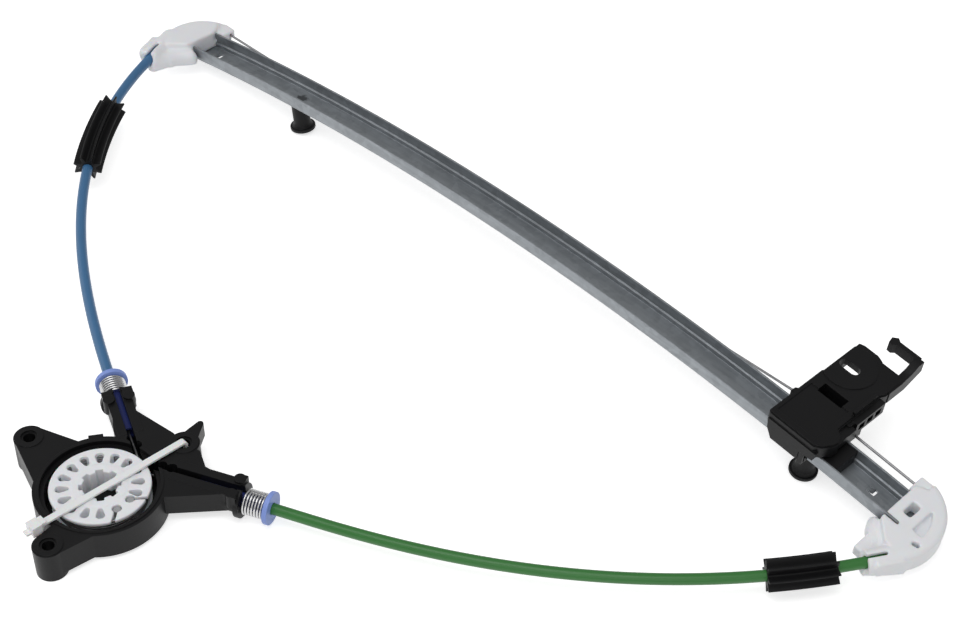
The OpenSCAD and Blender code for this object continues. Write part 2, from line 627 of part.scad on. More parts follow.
module drum_housing() {
    back_z = 2;
    arm_z = 2.6;
    deck_z = 5.5;
    color("dimgray") difference() {
        union() {
            translate([0, 0, back_z]) cylinder(h = deck_top - back_z, r = ring_r, $fn = 96);
            translate([0, 0, arm_z]) linear_extrude(deck_top - arm_z) arm(boss_1, 161, 225);
            translate([0, 0, arm_z]) linear_extrude(deck_top - arm_z) arm(boss_2, -79, -40);
            translate([0, 0, deck_z]) linear_extrude(deck_top - deck_z) deck_outline();
            for (b = [boss_1, boss_2, boss_3]) boss_post(b);
            for (side = [upper, lower]) socket_wall(side);
            // Raised lip round the drum, the small tab and the prong at the third boss
            translate([0, 0, deck_top - eps]) cylinder(h = 0.5, r = cavity_r + 3.8, $fn = 96);
            rotate([0, 0, 147]) translate([ring_r - 2.5, -3.8, 10]) cube([4, 7.6, 8.3]);
            translate([0, 0, 9]) linear_extrude(deck_top - 9) hull() {
                translate(boss_3 + [-1, 3]) circle(5);
                translate([0.9, 63.4]) circle(1.8);
            }
        }
        // Drum cavity and its step
        translate([0, 0, back_z + floor_t]) cylinder(h = 40, r = cavity_r, $fn = 96);
        translate([0, 0, deck_top - 2.6]) cylinder(h = 40, r = cavity_r + 2.2, $fn = 96);
        // Open channels with their scalloped sides, and the socket bores
        for (side = [upper, lower]) at_socket(side) {
            translate([0, -channel_w/2, socket_z - 3.1]) cube([reach(side) + 1, channel_w, 20]);
            translate([reach(side) - stem_len - ferrule_travel - 1, 0, socket_z])
                rotate([0, 90, 0]) cylinder(h = 60, r = stem_r + 0.2);
            for (q = side == upper ? [[14.5, 0.6, 2.5], [21, -0.8, 3], [27, 0.5, 2.4]]
                : [[17, 1.4, 3.1], [23, 0.8, 2.4], [28.5, 0.5, 2.9]])
                translate([q[0], q[1], socket_z - 2.9]) cylinder(h = 20, r = q[2]);
        }
        // Screw holes, with a wide seat at the top
        for (b = [boss_1, boss_2, boss_3]) translate(b) {
            translate([0, 0, -1]) cylinder(h = 40, r = hole_r);
            translate([0, 0, deck_top - 0.5]) cylinder(h = 10, r = hole_r + 1.2);
        }
        // Hollows under the long arm, with a rib left between them
        rotate([0, 0, atan2(boss_1.y, boss_1.x)]) for (s = [-1, 1]) translate([0, 0, arm_z - 1])
            linear_extrude(11) polygon([[ring_r + 1.8, s*1.1], [norm(boss_1) - boss_r - 1.6, s*1.1],
                [norm(boss_1) - boss_r + 0.2, s*3.6], [ring_r + 3.4, s*9], [ring_r + 0.8, s*9]]);
        // Hollows under the deck, beside the third boss
        translate([0, 0, deck_z - 1]) linear_extrude(10) polygon([[-7, 36.8], [-22, 43], [-21, 44.2],
            [-7, 46]]);
        translate([0, 0, deck_z - 1]) linear_extrude(10) polygon([[13, 39.6], [20, 42.6], [19, 44.6],
            [15.6, 46]]);
    }
    // Collar that carries the drum's journal
    color("dimgray") translate([0, 0, back_z + floor_t - eps]) difference() {
        cylinder(h = 2.2, r = journal_r + 2.2);
        translate([0, 0, -1]) cylinder(h = 5, r = journal_r + journal_gap);
    }
}

// Drum: the pockets round its face are rounded wedges, and two of them hold the cable's ends
pocket_in = 15.6;
pocket_out = 22.6;
pocket_step = 360/pocket_count;
pocket_turn = 9;
end_angles = [17, -10];
end_r = 18.6;

module pocket(depth, inner_w, outer_w) {
    mid_in = pocket_in + inner_w/2;
    mid_out = pocket_out - outer_w/2;
    translate([0, 0, drum_top - depth]) linear_extrude(20) polygon(concat(
        [for (a = [-80:32:80]) [mid_out + outer_w/2*cos(a), outer_w/2*sin(a)]],
        [for (a = [100:40:260]) [mid_in + inner_w/2*cos(a), inner_w/2*sin(a)]]));
}

module cable_drum() {
    foot = 2 + floor_t + 0.1;
    body = foot + 2.6;
    core_r = wind_r - cable_r - 0.05;
    crown = turn_z(turn_total - 1) + turn_pitch/2 + 0.1;
    color("white") difference() {
        union() {
            translate([0, 0, foot]) cylinder(h = 4, r = journal_r);
            translate([0, 0, body]) cylinder(h = 0.6, r = drum_r - 0.6);
            translate([0, 0, body]) cylinder(h = drum_top - body, r = core_r);
            translate([0, 0, crown]) cylinder(h = drum_top - crown - 0.4, r = drum_r, $fn = 96);
            translate([0, 0, drum_top - 0.4 - eps]) cylinder(h = 0.4 + eps, r1 = drum_r,
                r2 = drum_r - 0.4, $fn = 96);
            translate([0, 0, drum_top - eps]) cylinder(h = 0.3, r = 14.2);
        }
        // Drive opening with its eight lobes
        translate([0, 0, -1]) cylinder(h = 40, r = drive_r);
        for (i = [0:7]) rotate([0, 0, 45*i + 10]) translate([drive_r - 1, -1.9, -1]) cube([2.7, 3.8, 40]);
        for (i = [1:pocket_count - 2]) rotate([0, 0, pocket_step*i + pocket_turn]) pocket(7, 2.6, 4.8);
        // Pockets of the cable's ends, and the slots that lead from them to the grooves
        for (a = end_angles) rotate([0, 0, a]) translate([end_r, 0, drum_top - 7])
            cylinder(h = 20, r = 2.5);
        for (a = end_angles) rotate([0, 0, a]) translate([end_r, 0, drum_top - 5.5])
            rotate([0, 0, a > 0 ? 34 : -40]) translate([0, -0.9, 0]) cube([12, 1.8, 20]);
    }
}

module drum_nipples() {
    color("lightgray") for (a = end_angles) rotate([0, 0, a])
        translate([end_r, 0, drum_top - 6.9]) cylinder(h = 5.8, r = 1.9);
}

module drum_turns(list) {
    color("lightgray") for (i = list) translate([0, 0, turn_z(i)])
        rotate_extrude($fn = 96) translate([wind_r, 0]) circle(cable_r, $fn = 24);
}

// Ferrules and springs
module ferrule(side) {
    t = reach(side);
    color("cornflowerblue") at_socket(side) translate([t, 0, socket_z]) rotate([0, 90, 0]) difference() {
        union() {
            translate([0, 0, spring_len]) cylinder(h = disc_t, r = disc_r);
            translate([0, 0, -stem_len]) cylinder(h = stem_len + spring_len + 1, r = stem_r);
        }
        translate([0, 0, disc_face - seat_len]) cylinder(h = seat_len + 1, r = conduit_r + 0.08);
        translate([0, 0, -stem_len - 1]) cylinder(h = 60, r = 1.2);
        translate([0, 0, -stem_len - 1]) cylinder(h = 9, r1 = 2.8, r2 = 1.2);
    }
}

module spring(side) {
    turn_steps = 16;
    n = spring_turns*turn_steps;
    pitch = (spring_len - 2*spring_wire - 0.2)/spring_turns;
    helix = [for (i = [0:n]) [spring_r*cos(360*i/turn_steps), spring_r*sin(360*i/turn_steps),
        spring_wire + 0.1 + pitch*i/turn_steps]];
    k = 6;
    pts = [for (p = helix) let (out = unit([p.x, p.y, 0]))
        for (q = ring_pts(spring_wire, k)) p + q.x*out + [0, 0, q.y]];
    sides = [for (i = [0:n - 1]) for (j = [0:k - 1]) for (f = [0, 1])
        let (a = i*k + j, b = i*k + (j + 1)%k)
        f == 0 ? [a, b + k, b] : [a, a + k, b + k]];
    color("lightgray") at_socket(side) translate([reach(side), 0, socket_z]) rotate([0, 90, 0])
        polyhedron(pts, concat([[for (j = [0:k - 1]) j]], sides, [[for (j = [k - 1:-1:0]) n*k + j]]));
}

// Conduits, liners, pads and the cable inside them
module conduit(side, shade) {
    color(shade) tube_along(side, ring_pts(conduit_r, 16), ring_pts(conduit_in, 12), seat_len, seat_len);
}

module liner(side) {
    color("ivory") tube_along(side, ring_pts(1.6, 12), ring_pts(1.05, 8), seat_len, seat_len);
}

module pad(side) {
    mid = side == upper ? 204 : 267.8;
    half = (side == upper ? upper_pad_len : lower_pad_len)/2;
    cuts = 8;
    path = [for (i = [0:cuts]) route_pt(side, place_at(side, scale_of(side)*mid - half + 2*half*i/cuts))];
    color("black") sleeve(path, star,
        [for (i = [1:2*fins]) (conduit_r + 0.15)*[cos(180*i/fins), sin(180*i/fins)]]);
}

// The whole path of the cable from the drum to its exit from the deflector
function turn_pts(side, n) = [for (i = [n:-1:0]) let (a = heading(side)*i/n)
    exit_pt(side) + seat_dir(side, turn_r(side)*[-sin(a), cos(a) - 1, 0])];

module run_cable(side) {
    inner = reach(side) - stem_len + 6;
    color("lightgray") swept(concat(
        [socket_pt(side, clear_t, leave_z(side)), socket_pt(side, inner, socket_z)],
        route(side, seat_len, seat_len), turn_pts(side, 16)), ring_pts(cable_r, 8));
}

module strand(p, q) {
    color("lightgray") bar(p, q, cable_r);
}

// Transport tie: a closed loop through the third boss, over the drum and back under the housing
strap_far = [2, -36.9];
strap_run = norm(strap_far - boss_3);

module strap_plane() {
    v = strap_far - boss_3;
    translate(boss_3) rotate([0, 0, atan2(v.y, v.x)]) children();
}

module transport_tie() {
    over = drum_top + 0.8;
    low = 0.25;
    color("white") strap_plane() translate([0, strap_w/2, 0]) rotate([90, 0, 0]) {
        linear_extrude(strap_w) difference() {
            translate([-strap_t, low]) offset(2.2) offset(-2.2) square([strap_run + 2*strap_t,
                over + strap_t - low]);
            translate([0, low + strap_t]) offset(1) offset(-1) square([strap_run, over - low - strap_t]);
        }
        // Head with its tail
        translate([strap_run + strap_t - 0.02, over - 2.4, -1.4]) cube([5.6, 6, strap_w + 2.8]);
        translate([strap_run - 1.6, over + strap_t + 0.3, -0.8]) cube([3, 1.8, strap_w + 1.6]);
        translate([strap_run + strap_t + 5, over - 0.6, 0]) cube([3.4, strap_t, strap_w]);
    }
}

// The origin is the axis of the first screw hole
module placed() {
    translate(-boss_1) children();
}

placed() guide_rail();
placed() stud(upper);  // upper_stud
placed() stud(lower);  // lower_stud
placed() grommet(upper);  // upper_grommet
placed() grommet(lower);  // lower_grommet
placed() deflector(upper);  // upper_deflector
placed() deflector(lower);  // lower_deflector
placed() slider_body();
placed() guide_shoe();
placed() retaining_clip();
placed() slider_nipples();
placed() drum_housing();
placed() cable_drum();
placed() drum_nipples();
placed() drum_turns([3, 4]);  // upper_drum_turns
placed() drum_turns([0, 1, 2]);  // lower_drum_turns
placed() ferrule(upper);  // upper_ferrule
placed() ferrule(lower);  // lower_ferrule
placed() spring(upper);  // upper_spring
placed() spring(lower);  // lower_spring
placed() conduit(upper, "steelblue");  // upper_conduit
placed() conduit(lower, "forestgreen");  // lower_conduit
placed() liner(upper);  // upper_liner
placed() liner(lower);  // lower_liner
placed() pad(upper);  // upper_pad
placed() pad(lower);  // lower_pad
placed() run_cable(upper);  // upper_run_cable
placed() run_cable(lower);  // lower_run_cable
placed() strand(exit_u, strand_u);  // upper_strand
placed() strand(exit_l, strand_l);  // lower_strand
placed() transport_tie();
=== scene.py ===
"""Cable window regulator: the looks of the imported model.

Sizes are in millimetres and places count from the drum's axis, until MM and from_drum() make them metres.
Names that end in _M, the lamps' places and sizes, and lengths inside node trees are in metres.
"""

import json
import math

import bmesh
import bpy
from mathutils import Matrix, Vector


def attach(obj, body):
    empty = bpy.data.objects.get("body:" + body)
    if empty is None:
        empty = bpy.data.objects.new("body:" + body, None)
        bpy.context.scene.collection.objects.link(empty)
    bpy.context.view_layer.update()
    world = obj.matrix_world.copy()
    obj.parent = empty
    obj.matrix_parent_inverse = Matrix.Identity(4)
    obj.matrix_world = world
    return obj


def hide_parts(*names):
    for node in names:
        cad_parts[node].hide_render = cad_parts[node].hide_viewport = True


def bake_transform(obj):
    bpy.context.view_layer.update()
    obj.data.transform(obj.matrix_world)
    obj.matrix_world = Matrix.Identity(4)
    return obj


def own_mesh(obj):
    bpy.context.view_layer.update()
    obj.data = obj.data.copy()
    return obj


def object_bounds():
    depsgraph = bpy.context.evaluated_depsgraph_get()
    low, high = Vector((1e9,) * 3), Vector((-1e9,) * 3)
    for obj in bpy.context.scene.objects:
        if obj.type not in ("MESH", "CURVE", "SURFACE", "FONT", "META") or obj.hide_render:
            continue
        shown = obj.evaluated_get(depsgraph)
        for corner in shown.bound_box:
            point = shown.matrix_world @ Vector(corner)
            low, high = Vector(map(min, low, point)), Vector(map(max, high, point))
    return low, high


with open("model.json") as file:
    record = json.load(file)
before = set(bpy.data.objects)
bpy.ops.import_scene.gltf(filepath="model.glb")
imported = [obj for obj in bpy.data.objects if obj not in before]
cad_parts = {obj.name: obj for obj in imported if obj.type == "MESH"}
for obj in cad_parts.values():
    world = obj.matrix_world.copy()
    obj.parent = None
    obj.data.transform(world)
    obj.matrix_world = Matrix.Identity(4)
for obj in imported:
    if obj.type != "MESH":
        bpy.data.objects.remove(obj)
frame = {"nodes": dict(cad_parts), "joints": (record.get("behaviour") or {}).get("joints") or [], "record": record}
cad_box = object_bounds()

MM = 0.001
UPPER, LOWER = "upper", "lower"

# Places taken from the frame

drum_joint = next(joint for joint in frame["joints"] if joint["name"] == "drum_spin")
drum_axis = Vector(drum_joint["pos_m"]) * Vector((1, 1, 0))
slot_of = {part["node"]: part["material_slot"] for part in frame["record"]["subparts"]}
body_of = {node: body for body, nodes in frame["record"]["behaviour"]["bodies"].items() for node in nodes}


def from_drum(x, y, z):
    """A point given in millimetres from the drum's axis, as a place in the scene."""
    return drum_axis + Vector((x, y, z)) * MM


def to_scene(points):
    return [from_drum(*point) for point in points]


# Driving dimensions, repeated from part.scad

# The rail's arc, its middle line, its crown, and its reach from the crown to each end
RAIL_R, RAIL_Y, CROWN_X = 1653, 276.7, 30.6
RAIL_UP, RAIL_LOW = 302.6, 263.4
# The rail's section: width of the web, width and height of the flanges' step, depth and sheet
WEB_W, STEP_W, LEDGE, DEPTH, GAUGE = 18, 1.2, 4, 10, 1.2
# The rail's tabs: their length, their two edges across the web, and how far in from the rail's ends
TAB_LEN, TAB_FROM, TAB_TO = 5.5, -0.5, 3.5
UPPER_TAB_IN, LOWER_TAB_IN = 21.5, 23.3
# Studs and grommets
STUD_SPAN, GROMMET_LEN, FLANGE_R = 398, 20.35, 7.75
# The cable, its place beside the rail, and how far in from the rail's ends it leaves the deflectors
CABLE_R, CABLE_GAP, CABLE_H = 0.75, 8.1, 6
UPPER_INSET, LOWER_INSET = 10, 7
# The carrier's place on the rail, and its cable ends
CARRIER_S, NIPPLE_OFF, NIPPLE_HALF, NIPPLE_GAP = 199.4, 10, 2.2, 0.1
# The cable's turns on the drum, and their clearance where the cable leaves it
WIND_R, FIRST_TURN, TURN_PITCH, TURN_COUNT, TURN_GAP = 23, 8.25, 1.65, 5, 0.15
# Ferrules: height, disc, stem, how deep in the stem the cable starts to run straight, and travel
SOCKET_Z, DISC_T, STEM_LEN, STEM_MOUTH, FERRULE_TRAVEL = 10, 2.6, 26, 6, 3
# Springs: radius, radius of the wire, turns, length, and clearance at each end
SPRING_R, SPRING_WIRE, SPRING_TURNS, SPRING_LEN, SPRING_GAP = 6.55, 0.6, 7, 13, 0.1
# Conduits and liners: radius, radius of the bore, length seated in each end, and the liner's wall
CONDUIT_R, CONDUIT_IN, SEAT = 3, 1.75, 12
LINER_R, LINER_WALL = 1.6, 0.55

# Derived places. Angles round the rail's arc grow from its crown towards the lower end

rail_half = WEB_W / 2 + STEP_W
cable_y = RAIL_Y + rail_half + CABLE_GAP
stud_drop = RAIL_R - GROMMET_LEN
stud_angle = math.asin(STUD_SPAN / 2 / stud_drop)
crown_z = RAIL_R - stud_drop * math.cos(stud_angle) + FLANGE_R * math.sin(stud_angle)
carrier_angle = math.asin(CARRIER_S / RAIL_R)
up_angle = -math.asin(RAIL_UP / RAIL_R)
low_angle = math.asin(RAIL_LOW / RAIL_R)
tab_angles = (up_angle + math.asin(UPPER_TAB_IN / RAIL_R), low_angle - math.asin(LOWER_TAB_IN / RAIL_R))


def on_arc(angle, height, y):
    """A point at an angle round the rail's arc and at a height above the underside of its web."""
    radius = RAIL_R + height
    return Vector((CROWN_X + radius * math.sin(angle), y, crown_z - RAIL_R + radius * math.cos(angle)))


# Nodes, with their values and links given together

NODE_CHOICES = ("operation", "mode", "samples")


def put_in(tree, socket, value):
    """Gives an input a value, or links it to another node's output."""
    if isinstance(value, bpy.types.NodeSocket):
        tree.links.new(value, socket)
    else:
        socket.default_value = value


def made(tree, kind, *inputs, **named):
    """A new node. Its inputs come in order or by name, as values or as other nodes' outputs."""
    node = tree.nodes.new(kind)
    for choice in NODE_CHOICES:
        if choice in named:
            setattr(node, choice, named.pop(choice))
    for socket, value in zip(node.inputs, inputs):
        put_in(tree, socket, value)
    for label, value in named.items():
        put_in(tree, node.inputs[label.replace("_", " ")], value)
    return node


def calculated(tree, operation, *inputs):
    """The result of a Math node."""
    return made(tree, "ShaderNodeMath", *inputs, operation=operation).outputs[0]


# Camera, floor and light

PHOTO_WIDTH, PHOTO_FOCAL, SENSOR_WIDTH = 960, 2143.3, 36
CAMERA_PLACE = (657.68, -369.01, 817.20)
CAMERA_LOOKS = (-0.52466, 0.50632, -0.68438)
CAMERA_ROLL = 0.0019
CAMERA_NEAR_M, CAMERA_FAR_M = 0.01, 20
OBJECT_MIDDLE = (20, 150, 10)
WORLD_LIGHT = 0.42
BACKDROP = (0.8, 0.8, 0.8, 1)
FLOOR_PAINT, FLOOR_GLOW = (0.82, 0.82, 0.82, 1), 0.6
FLOOR_HALF_M, FLOOR_GAP_M = 3, 0.0002

# Each lamp's place from the object's middle and its size, both in metres, and its power in watts
LAMPS = {
    "key": ((0.1, -0.5, 1.8), (1.4, 1.0), 11),
    "fill": ((1.2, -1.2, 1.1), (1.6, 1.2), 5.5),
    "side": ((-1.4, -0.6, 0.9), (1.0, 1.0), 4),
}


def add_camera():
    """The photograph's camera. Its focal length is known in pixels."""
    data = bpy.data.cameras.new("photo_camera")
    data.sensor_width = SENSOR_WIDTH
    data.lens = SENSOR_WIDTH * PHOTO_FOCAL / PHOTO_WIDTH
    data.clip_start = CAMERA_NEAR_M
    data.clip_end = CAMERA_FAR_M
    camera = bpy.data.objects.new("photo_camera", data)
    bpy.context.scene.collection.objects.link(camera)
    place = Matrix.Translation(from_drum(*CAMERA_PLACE))
    turn = Vector(CAMERA_LOOKS).normalized().to_track_quat("-Z", "Y").to_matrix().to_4x4()
    camera.matrix_world = place @ turn @ Matrix.Rotation(CAMERA_ROLL, 4, "Z")
    bpy.context.scene.camera = camera


def add_lamp(name, offset, size, power):
    """A soft rectangular lamp that is aimed at the object's middle."""
    data = bpy.data.lights.new(name, "AREA")
    data.shape = "RECTANGLE"
    data.size, data.size_y = size
    data.energy = power
    lamp = bpy.data.objects.new(name, data)
    aim = from_drum(*OBJECT_MIDDLE)
    lamp.location = aim + Vector(offset)
    lamp.rotation_euler = (-Vector(offset)).to_track_quat("-Z", "Y").to_euler()
    bpy.context.scene.collection.objects.link(lamp)


def add_world():
    """A soft even light, which the camera sees as a pale backdrop."""
    world = bpy.data.worlds.new("studio")
    world.use_nodes = True
    tree = world.node_tree
    tree.nodes.clear()
    soft = made(tree, "ShaderNodeBackground", Color=(1, 1, 1, 1), Strength=WORLD_LIGHT)
    pale = made(tree, "ShaderNodeBackground", Color=BACKDROP, Strength=1)
    ray = made(tree, "ShaderNodeLightPath")
    both = made(tree, "ShaderNodeMixShader", ray.outputs["Is Camera Ray"], soft.outputs[0], pale.outputs[0])
    made(tree, "ShaderNodeOutputWorld", Surface=both.outputs[0])
    bpy.context.scene.world = world


def floor_paint():
    """A pale paint that keeps shadows, and reads as white to the camera and in reflections."""
    material = bpy.data.materials.new("pale_floor")
    material.use_nodes = True
    tree = material.node_tree
    tree.nodes.clear()
    ray = made(tree, "ShaderNodeLightPath")
    seen = calculated(tree, "MAXIMUM", ray.outputs["Is Camera Ray"], ray.outputs["Is Glossy Ray"])
    paint = made(tree, "ShaderNodeBsdfDiffuse", Color=FLOOR_PAINT)
    glow = made(tree, "ShaderNodeEmission", Strength=calculated(tree, "MULTIPLY", seen, FLOOR_GLOW))
    total = made(tree, "ShaderNodeAddShader", paint.outputs[0], glow.outputs[0])
    made(tree, "ShaderNodeOutputMaterial", Surface=total.outputs[0])
    return material


def add_floor():
    """A wide floor just under the object."""
    mesh = bpy.data.meshes.new("floor")
    low = cad_box[0][2] - FLOOR_GAP_M
    corners = [(x * FLOOR_HALF_M, y * FLOOR_HALF_M, low) for x, y in ((-1, -1), (1, -1), (1, 1), (-1, 1))]
    mesh.from_pydata(corners, [], [(0, 1, 2, 3)])
    mesh.materials.append(floor_paint())
    floor = bpy.data.objects.new("floor", mesh)
    bpy.context.scene.collection.objects.link(floor)


bpy.context.scene.view_settings.view_transform = "Standard"
add_camera()
add_world()
add_floor()
for lamp_name, (offset, size, power) in LAMPS.items():
    add_lamp(lamp_name, offset, size, power)

# Materials

RELIEF_M = 0.0002
UPPER_WELD = (CROWN_X - STUD_SPAN / 2, RAIL_Y + 0.8, 23.6)
LOWER_WELD = (CROWN_X + STUD_SPAN / 2, RAIL_Y + 1.3, 23.6)


def shader_group(name, inputs, outputs):
    """A shader node group with its named inputs and outputs, and nothing between them."""
    tree = bpy.data.node_groups.new(name, "ShaderNodeTree")
    for label, kind, value in inputs:
        socket = tree.interface.new_socket(label, in_out="INPUT", socket_type=kind)
        socket.default_value = value
    for label, kind in outputs:
        tree.interface.new_socket(label, in_out="OUTPUT", socket_type=kind)
    return tree, tree.nodes.new("NodeGroupInput").outputs


def moulded_grain():
    """The fine grain and slow shade changes of a moulded surface."""
    tree, given = shader_group(
        "moulded_grain",
        [("Grain Scale", "NodeSocketFloat", 1500), ("Patch Scale", "NodeSocketFloat", 60),
         ("Colour", "NodeSocketColor", (0.5, 0.5, 0.5, 1)), ("Colour Change", "NodeSocketFloat", 0.1),
         ("Roughness", "NodeSocketFloat", 0.5), ("Roughness Change", "NodeSocketFloat", 0.1)],
        [("Colour", "NodeSocketColor"), ("Roughness", "NodeSocketFloat"), ("Height", "NodeSocketFloat")])
    place = made(tree, "ShaderNodeTexCoord").outputs["Object"]
    grain = made(tree, "ShaderNodeTexNoise", Vector=place, Scale=given["Grain Scale"], Detail=3)
    patch = made(tree, "ShaderNodeTexNoise", Vector=place, Scale=given["Patch Scale"], Detail=4)
    centred = calculated(tree, "SUBTRACT", patch.outputs["Fac"], 0.5)
    shade = calculated(tree, "MULTIPLY_ADD", centred, given["Colour Change"], 1)
    tint = made(tree, "ShaderNodeVectorMath", given["Colour"], Scale=shade, operation="SCALE")
    rough = calculated(tree, "MULTIPLY_ADD", centred, given["Roughness Change"], given["Roughness"])
    made(tree, "NodeGroupOutput", Colour=tint.outputs[0], Roughness=rough, Height=grain.outputs["Fac"])
    return tree


def weld_marks(tree, given, place):
    """Darkened patches round two welds: 1 away from them and 0.3 in their middles."""
    ragged = made(tree, "ShaderNodeTexNoise", Vector=place, Scale=420, Detail=4)
    away = [made(tree, "ShaderNodeVectorMath", place, given[label], operation="DISTANCE").outputs["Value"]
            for label in ("First Weld", "Second Weld")]
    share = calculated(tree, "DIVIDE", calculated(tree, "MINIMUM", *away), given["Weld Reach"])
    edge = calculated(tree, "SUBTRACT", share, ragged.outputs["Fac"])
    mark = made(tree, "ShaderNodeMapRange", Value=edge,
                From_Min=-0.12, From_Max=0.12, To_Min=0.3, To_Max=1)
    return mark.outputs[0]


def rolled_zinc():
    """The spangle and rolling streaks of galvanised sheet, with the marks of two welds."""
    tree, given = shader_group(
        "rolled_zinc",
        [("Colour", "NodeSocketColor", (0.5, 0.5, 0.5, 1)), ("Spangle Scale", "NodeSocketFloat", 260),
         ("Streak Scale", "NodeSocketFloat", 500), ("Roughness", "NodeSocketFloat", 0.4),
         ("First Weld", "NodeSocketVector", (0, 0, 0)), ("Second Weld", "NodeSocketVector", (0, 0, 0)),
         ("Weld Reach", "NodeSocketFloat", 0.007)],
        [("Colour", "NodeSocketColor"), ("Roughness", "NodeSocketFloat"), ("Height", "NodeSocketFloat")])
    place = made(tree, "ShaderNodeTexCoord").outputs["Object"]
    spangle = made(tree, "ShaderNodeTexVoronoi", Vector=place, Scale=given["Spangle Scale"])
    cells = made(tree, "ShaderNodeSeparateColor", spangle.outputs["Color"])
    rolled = made(tree, "ShaderNodeMapping", Vector=place, Scale=(0.03, 1, 1)).outputs[0]
    streak = made(tree, "ShaderNodeTexNoise", Vector=rolled, Scale=given["Streak Scale"], Detail=5)
    both = calculated(tree, "MULTIPLY_ADD", cells.outputs[0], 0.35, streak.outputs["Fac"])
    shade = made(tree, "ShaderNodeMapRange", Value=both,
                 From_Min=0.35, From_Max=1, To_Min=0.82, To_Max=1.15)
    total = calculated(tree, "MULTIPLY", shade.outputs[0], weld_marks(tree, given, place))
    tint = made(tree, "ShaderNodeVectorMath", given["Colour"], Scale=total, operation="SCALE")
    rough = calculated(tree, "MULTIPLY_ADD", cells.outputs[1], 0.12, given["Roughness"])
    made(tree, "NodeGroupOutput", Colour=tint.outputs[0], Roughness=rough, Height=streak.outputs["Fac"])
    return tree


GRAIN = moulded_grain()
ZINC = rolled_zinc()


def finish_from(name, group, values, bump, metallic=0.0, edge=0.0, **shader):
    """A material with colour, roughness and relief from a node group, and its edges rounded by edge."""
    material = bpy.data.materials.new(name)
    material.use_nodes = True
    tree = material.node_tree
    effect = tree.nodes.new("ShaderNodeGroup")
    effect.node_tree = group
    for label, value in values.items():
        put_in(tree, effect.inputs[label], value)
    relief = made(tree, "ShaderNodeBump", Strength=bump, Distance=RELIEF_M, Height=effect.outputs["Height"])
    if edge:
        soft_edge = made(tree, "ShaderNodeBevel", Radius=edge * MM, samples=6)
        put_in(tree, relief.inputs["Normal"], soft_edge.outputs["Normal"])
    base = tree.nodes["Principled BSDF"]
    put_in(tree, base.inputs["Base Color"], effect.outputs["Colour"])
    put_in(tree, base.inputs["Roughness"], effect.outputs["Roughness"])
    put_in(tree, base.inputs["Normal"], relief.outputs["Normal"])
    base.inputs["Metallic"].default_value = metallic
    for label, value in shader.items():
        base.inputs[label.replace("_", " ")].default_value = value
    return material


def plastic(name, colour, roughness, bump=0.15, change=0.12, grain=1500, **shader):
    """A moulded or drawn surface, with its fine grain and slow changes of shade."""
    values = {"Colour": (*colour, 1), "Roughness": roughness, "Colour Change": change,
              "Roughness Change": 0.15, "Grain Scale": grain}
    return finish_from(name, GRAIN, values, bump, **shader)


def galvanised():
    """Rolled sheet, with the marks of the two studs' welds."""
    values = {"Colour": (0.29, 0.31, 0.33, 1), "Roughness": 0.38,
              "First Weld": from_drum(*UPPER_WELD), "Second Weld": from_drum(*LOWER_WELD)}
    return finish_from("galvanised_sheet", ZINC, values, 0.12, metallic=0.75, edge=0.12)


# Painted shade: the ferrules' periwinkle darkened to navy, for the stems where they sit in the socket's shade
STEM_PAINTED_SHADE = plastic("navy_nylon", (0.022, 0.032, 0.15), 0.45, bump=0.08, edge=0.3, Specular_IOR_Level=0.3)
FINISH = {
    "galvanised": galvanised(),
    "bright_steel": plastic("bright_steel", (0.62, 0.62, 0.62), 0.24, bump=0.05, metallic=1.0),
    "cable_steel": plastic("cable_steel", (0.36, 0.36, 0.37), 0.38, bump=0.1, metallic=1.0),
    "zinc": plastic("cast_zinc", (0.55, 0.56, 0.57), 0.4, bump=0.2, metallic=1.0),
    "black_plastic": plastic("black_nylon", (0.0055, 0.0055, 0.006), 0.40, bump=0.2, change=0.3,
                             grain=1100, edge=0.3, Specular_IOR_Level=0.22),
    "white_plastic": plastic("natural_acetal", (0.84, 0.85, 0.875), 0.36, bump=0.05, change=0.04,
                             edge=0.35, Subsurface_Weight=0.2, Subsurface_Scale=0.002),
    "tie_plastic": plastic("natural_nylon", (0.86, 0.87, 0.87), 0.36, bump=0.06, change=0.04,
                           edge=0.25, Subsurface_Weight=0.2, Subsurface_Scale=0.002),
    "blue_ferrule": plastic("periwinkle_nylon", (0.23, 0.33, 0.74), 0.42, bump=0.08, edge=0.3),
    "blue_jacket": plastic("blue_jacket", (0.045, 0.150, 0.31), 0.40, bump=0.1, change=0.15),
    "green_jacket": plastic("green_jacket", (0.032, 0.175, 0.032), 0.38, bump=0.1, change=0.15),
    "liner_plastic": plastic("liner_plastic", (0.75, 0.74, 0.68), 0.4),
    "black_rubber": plastic("black_rubber", (0.006, 0.006, 0.0065), 0.5, bump=0.3, change=0.3,
                            grain=900, edge=0.2, Specular_IOR_Level=0.22),
}
for node_name, cad_node in frame["nodes"].items():
    cad_node.data.materials.clear()
    cad_node.data.materials.append(FINISH[slot_of[node_name]])

# The cable's two sides, repeated from part.scad

ROUTE_STEPS, SEAT_STEPS, BEND_STEPS = 60, 3, 24


